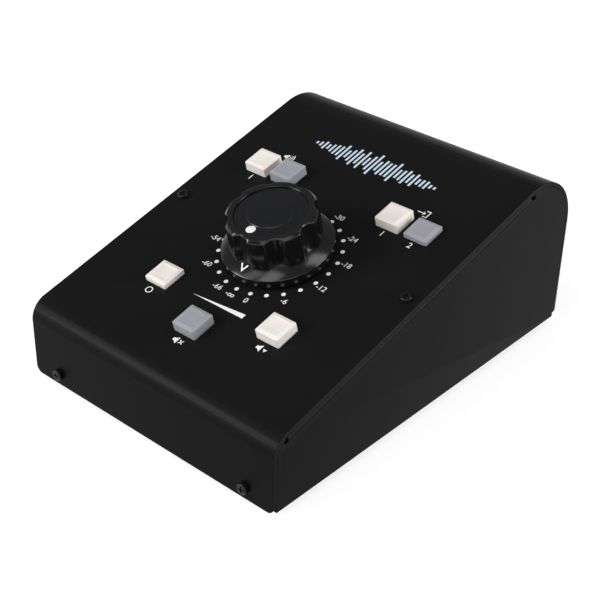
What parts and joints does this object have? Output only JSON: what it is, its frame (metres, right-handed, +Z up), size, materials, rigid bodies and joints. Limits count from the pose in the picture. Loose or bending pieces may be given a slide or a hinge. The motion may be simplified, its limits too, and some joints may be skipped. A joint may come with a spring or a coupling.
{
  "type": "studio monitor controller",
  "caption": "Desktop volume and speaker switching box: folded sheet case with a sloped panel, a large stepped knob, latching push buttons, and balanced sockets at the rear.",
  "frame": {"origin": "middle of the footprint, on the surface that the feet stand on", "axes": "+Z up, -Y towards the user (front face), +Y towards the sockets, +X to the user's right"},
  "size_m": [0.15, 0.216, 0.092],
  "materials": {
    "black_powder_coat": "satin black powder coat, fine texture",
    "black_sheet": "thin black paint on steel sheet",
    "black_screw": "black oxide on steel",
    "zinc_steel": "bright zinc plate",
    "black_rubber": "matt",
    "circuit_board": "green solder mask on glass laminate",
    "cream_plastic": "satin moulded cream",
    "blue_grey_plastic": "satin moulded blue-grey",
    "white_plastic": "moulded white",
    "dark_plastic": "moulded dark grey",
    "wafer_laminate": "brown phenolic laminate",
    "silvered_brass": "silver-plated",
    "chip_resistor": "glazed black",
    "turned_brass": "turned",
    "ground_steel": "ground",
    "gloss_black": "polished black moulding",
    "black_anodised": "turned and black anodised",
    "white_inlay": "white enamel",
    "socket_casting": "black coated die casting",
    "gold_pin": "gold-plated",
    "grey_ribbon": "ribbed grey vinyl"
  },
  "bodies": {
    "housing": {"attenuator_contacts": "silvered_brass", "attenuator_frame": "zinc_steel", "attenuator_resistors": "chip_resistor", "attenuator_rods": "zinc_steel", "attenuator_wafers": "wafer_laminate", "base_plate": "black_sheet", "board_pillars": "turned_brass", "board_screws": "zinc_steel", "bush_nuts": "zinc_steel", "bush_washer": "zinc_steel", "clinch_nuts": "zinc_steel", "cover": "black_powder_coat", "cover_screws": "black_screw", "dim_switch": "dark_plastic", "foot_nuts": "zinc_steel", "foot_screws": "zinc_steel", "input_1_left_jack": "dark_plastic", "input_1_right_jack": "dark_plastic", "input_1_switch": "dark_plastic", "input_2_left_jack": "dark_plastic", "input_2_right_jack": "dark_plastic", "input_2_switch": "dark_plastic", "link_headers": "dark_plastic", "link_ribbon": "grey_ribbon", "mono_switch": "dark_plastic", "mute_switch": "dark_plastic", "output_1_left_socket": "socket_casting", "output_1_right_socket": "socket_casting", "output_1_switch": "dark_plastic", "output_2_left_socket": "socket_casting", "output_2_right_socket": "socket_casting", "output_2_switch": "dark_plastic", "rear_board": "circuit_board", "rubber_feet": "black_rubber", "socket_inserts": "dark_plastic", "socket_nuts": "zinc_steel", "socket_pins": "gold_pin", "socket_screws": "black_screw", "switch_board": "circuit_board"},
    "volume_knob": {"knob_grip": "gloss_black", "knob_skirt": "gloss_black", "knob_disc": "black_anodised", "knob_index_dot": "white_inlay", "knob_bushing": "turned_brass", "knob_grub_screw": "black_screw", "attenuator_rotor": "ground_steel"},
    "output_1_button": {"output_1_cap": "cream_plastic", "output_1_plunger": "white_plastic"},
    "output_2_button": {"output_2_cap": "blue_grey_plastic", "output_2_plunger": "white_plastic"},
    "input_1_button": {"input_1_cap": "cream_plastic", "input_1_plunger": "white_plastic"},
    "input_2_button": {"input_2_cap": "blue_grey_plastic", "input_2_plunger": "white_plastic"},
    "mono_button": {"mono_cap": "cream_plastic", "mono_plunger": "white_plastic"},
    "mute_button": {"mute_cap": "blue_grey_plastic", "mute_plunger": "white_plastic"},
    "dim_button": {"dim_cap": "cream_plastic", "dim_plunger": "white_plastic"}
  },
  "joints": [
    {"name": "volume_turn", "type": "hinge", "parent": "housing", "child": "volume_knob", "pos_m": [0, -0.0211, 0.0637], "axis": [0, -0.2588, 0.9659], "range_deg": [-345, 0]},
    {"name": "output_1_press", "type": "slide", "parent": "housing", "child": "output_1_button", "axis": [0, -0.2588, 0.9659], "range_m": [-0.003, 0], "stiffness_N_per_m": 250, "springref_m": 0.004},
    {"name": "output_2_press", "type": "slide", "parent": "housing", "child": "output_2_button", "axis": [0, -0.2588, 0.9659], "range_m": [-0.003, 0], "stiffness_N_per_m": 250, "springref_m": 0.004},
    {"name": "input_1_press", "type": "slide", "parent": "housing", "child": "input_1_button", "axis": [0, -0.2588, 0.9659], "range_m": [-0.003, 0], "stiffness_N_per_m": 250, "springref_m": 0.004},
    {"name": "input_2_press", "type": "slide", "parent": "housing", "child": "input_2_button", "axis": [0, -0.2588, 0.9659], "range_m": [-0.0006, 0.0024]},
    {"name": "mono_press", "type": "slide", "parent": "housing", "child": "mono_button", "axis": [0, -0.2588, 0.9659], "range_m": [-0.0006, 0.0024]},
    {"name": "mute_press", "type": "slide", "parent": "housing", "child": "mute_button", "axis": [0, -0.2588, 0.9659], "range_m": [-0.003, 0], "stiffness_N_per_m": 250, "springref_m": 0.004},
    {"name": "dim_press", "type": "slide", "parent": "housing", "child": "dim_button", "axis": [0, -0.2588, 0.9659], "range_m": [-0.003, 0], "stiffness_N_per_m": 250, "springref_m": 0.004}
  ]
}
